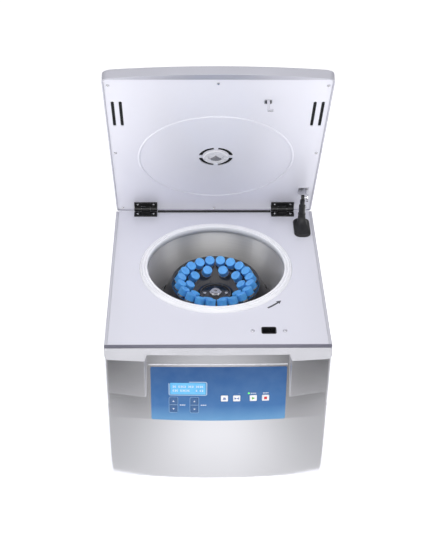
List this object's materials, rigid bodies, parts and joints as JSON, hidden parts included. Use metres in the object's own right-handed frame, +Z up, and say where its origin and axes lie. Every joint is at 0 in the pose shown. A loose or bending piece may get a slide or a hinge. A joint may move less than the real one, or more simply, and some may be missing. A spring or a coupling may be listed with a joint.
{
  "type": "laboratory centrifuge",
  "caption": "Bench centrifuge with a hinged lid held up by a gas strut, an angle rotor full of capped conical tubes in a round steel chamber, and a sloping key panel.",
  "frame": {"origin": "centre of the model's box on the floor plane, with the lid open as modelled", "axes": "+X to the right as the user faces the key panel, +Y to the back, +Z up"},
  "size_m": [0.434, 0.5182, 0.7954],
  "materials": {
    "zinc_sheet": "zinc plated",
    "foot_rubber": "matte",
    "case_paint": "satin powder coat",
    "deck_paint": "satin powder coat",
    "fascia_silver": "silver satin",
    "black_rubber": "matte",
    "trim_grey": "satin edge strip",
    "membrane_blue": "satin film",
    "display_glass": "clear over a pale display",
    "led_green": "clear",
    "circuit_board": "satin",
    "dark_print": "matte",
    "white_seal": "satin",
    "stainless": "brushed",
    "guard_steel": "satin",
    "motor_aluminium": "cast",
    "black_plastic": "satin",
    "black_metal": "satin",
    "bright_steel": "polished",
    "chrome_wire": "polished",
    "lid_silver": "silver satin",
    "lid_plate_paint": "satin powder coat",
    "white_plastic": "satin",
    "rotor_black": "gloss",
    "sleeve_steel": "bright",
    "tube_plastic": "translucent",
    "cap_blue": "satin",
    "strut_black": "gloss",
    "key_white": "satin",
    "key_blue": "satin"
  },
  "bodies": {
    "root": {"base_plate": "zinc_sheet", "feet": "foot_rubber", "side_panel_left": "case_paint", "side_panel_right": "case_paint", "rear_panel": "case_paint", "top_plate": "deck_paint", "front_bulkhead": "zinc_sheet", "front_fascia": "fascia_silver", "front_edge_trim": "trim_grey", "keypad_membrane": "membrane_blue", "display_window": "display_glass", "status_led": "led_green", "control_board": "circuit_board", "rotation_arrow": "dark_print", "bowl_gasket": "white_seal", "chamber_bowl": "stainless", "guard_ring": "guard_steel", "motor_housing": "motor_aluminium", "motor_bracket": "zinc_sheet", "lock_body": "black_plastic", "hinge_leaves_lower": "black_metal", "hinge_pins": "bright_steel", "deck_screws": "bright_steel", "strut_boot": "black_rubber", "strut_foot": "zinc_sheet", "fan_frame": "black_plastic", "rear_grille": "chrome_wire", "power_entry": "black_plastic", "power_unit": "motor_aluminium", "case_screws": "bright_steel"},
    "lid": {"lid_shell": "lid_silver", "lid_plate": "lid_plate_paint", "lid_ring": "lid_plate_paint", "lid_port": "white_plastic", "lid_screws": "bright_steel", "lid_catch": "bright_steel", "hinge_leaves_upper": "black_metal", "strut_bracket": "bright_steel"},
    "rotor": {"drive_shaft": "bright_steel", "rotor_body": "rotor_black", "rotor_nut": "bright_steel", "hub_screws": "bright_steel", "tube_sleeves": "sleeve_steel", "rack_tubes": "tube_plastic", "rack_caps": "cap_blue"},
    "picked_tube": {"pick_tube": "tube_plastic", "pick_cap": "cap_blue"},
    "strut_cylinder": {"strut_cylinder": "strut_black"},
    "strut_rod": {"strut_rod": "bright_steel"},
    "lock_bolt": {"lock_bolt": "bright_steel"},
    "fan": {"fan_blades": "black_plastic"},
    "power_switch": {"power_rocker": "black_plastic"},
    "key_light": {"key_light": "key_white"},
    "key_pulse": {"key_pulse": "key_white"},
    "key_start": {"key_start": "key_white"},
    "key_stop": {"key_stop": "key_white"},
    "key_speed_up": {"key_speed_up": "key_blue"},
    "key_speed_down": {"key_speed_down": "key_blue"},
    "key_time_up": {"key_time_up": "key_blue"},
    "key_time_down": {"key_time_down": "key_blue"}
  },
  "joints": [
    {"name": "lid_hinge", "type": "hinge", "parent": "root", "child": "lid", "pos_m": [0, 0.23356, 0.342], "axis": [-1, 0, 0], "range_deg": [-60.6, 0], "stiffness_Nm_per_rad": 6, "springref_deg": 68.75},
    {"name": "strut_pivot", "type": "hinge", "parent": "lid", "child": "strut_cylinder", "pos_m": [0.188, 0.18776, 0.39884], "axis": [-1, 0, 0], "range_deg": [0, 54]},
    {"name": "strut_slide", "type": "slide", "parent": "strut_cylinder", "child": "strut_rod", "axis": [0, -0.0508, -0.9987], "range_m": [-0.067, 0]},
    {"name": "rotor_spin", "type": "hinge", "parent": "root", "child": "rotor", "pos_m": [0, 0.02156, 0.236], "axis": [0, 0, 1], "continuous": true},
    {"name": "tube_slide", "type": "slide", "parent": "rotor", "child": "picked_tube", "axis": [-0.3536, 0.3536, 0.866], "range_m": [0, 0.125]},
    {"name": "lock_slide", "type": "slide", "parent": "root", "child": "lock_bolt", "axis": [0, -1, 0], "range_m": [0, 0.014]},
    {"name": "fan_spin", "type": "hinge", "parent": "root", "child": "fan", "pos_m": [-0.095, 0.21856, 0.101], "axis": [0, 1, 0], "continuous": true},
    {"name": "switch_rock", "type": "hinge", "parent": "root", "child": "power_switch", "pos_m": [0.13, 0.23106, 0.0835], "axis": [0, 0, -1], "range_deg": [0, 14]},
    {"name": "key_light_press", "type": "slide", "parent": "root", "child": "key_light", "axis": [-0.0049, 0.9934, -0.1147], "range_m": [0, 0.0008], "stiffness_N_per_m": 600, "springref_m": -0.0003},
    {"name": "key_pulse_press", "type": "slide", "parent": "root", "child": "key_pulse", "axis": [-0.014, 0.9936, -0.1123], "range_m": [0, 0.0008], "stiffness_N_per_m": 600, "springref_m": -0.0003},
    {"name": "key_start_press", "type": "slide", "parent": "root", "child": "key_start", "axis": [-0.0264, 0.9941, -0.1053], "range_m": [0, 0.0008], "stiffness_N_per_m": 600, "springref_m": -0.0003},
    {"name": "key_stop_press", "type": "slide", "parent": "root", "child": "key_stop", "axis": [-0.0356, 0.9946, -0.0973], "range_m": [0, 0.0008], "stiffness_N_per_m": 600, "springref_m": -0.0003},
    {"name": "key_speed_up_press", "type": "slide", "parent": "root", "child": "key_speed_up", "axis": [0.0331, 0.9945, -0.0997], "range_m": [0, 0.0008], "stiffness_N_per_m": 600, "springref_m": -0.0003},
    {"name": "key_speed_down_press", "type": "slide", "parent": "root", "child": "key_speed_down", "axis": [0.0331, 0.9945, -0.0997], "range_m": [0, 0.0008], "stiffness_N_per_m": 600, "springref_m": -0.0003},
    {"name": "key_time_up_press", "type": "slide", "parent": "root", "child": "key_time_up", "axis": [0.0175, 0.9937, -0.1108], "range_m": [0, 0.0008], "stiffness_N_per_m": 600, "springref_m": -0.0003},
    {"name": "key_time_down_press", "type": "slide", "parent": "root", "child": "key_time_down", "axis": [0.0175, 0.9937, -0.1108], "range_m": [0, 0.0008], "stiffness_N_per_m": 600, "springref_m": -0.0003}
  ],
  "couplings": [
    {"joint": "strut_pivot", "follows": "lid_hinge", "ratio": -0.88624},
    {"joint": "strut_slide", "follows": "lid_hinge", "m_per_rad": 0.06318}
  ]
}
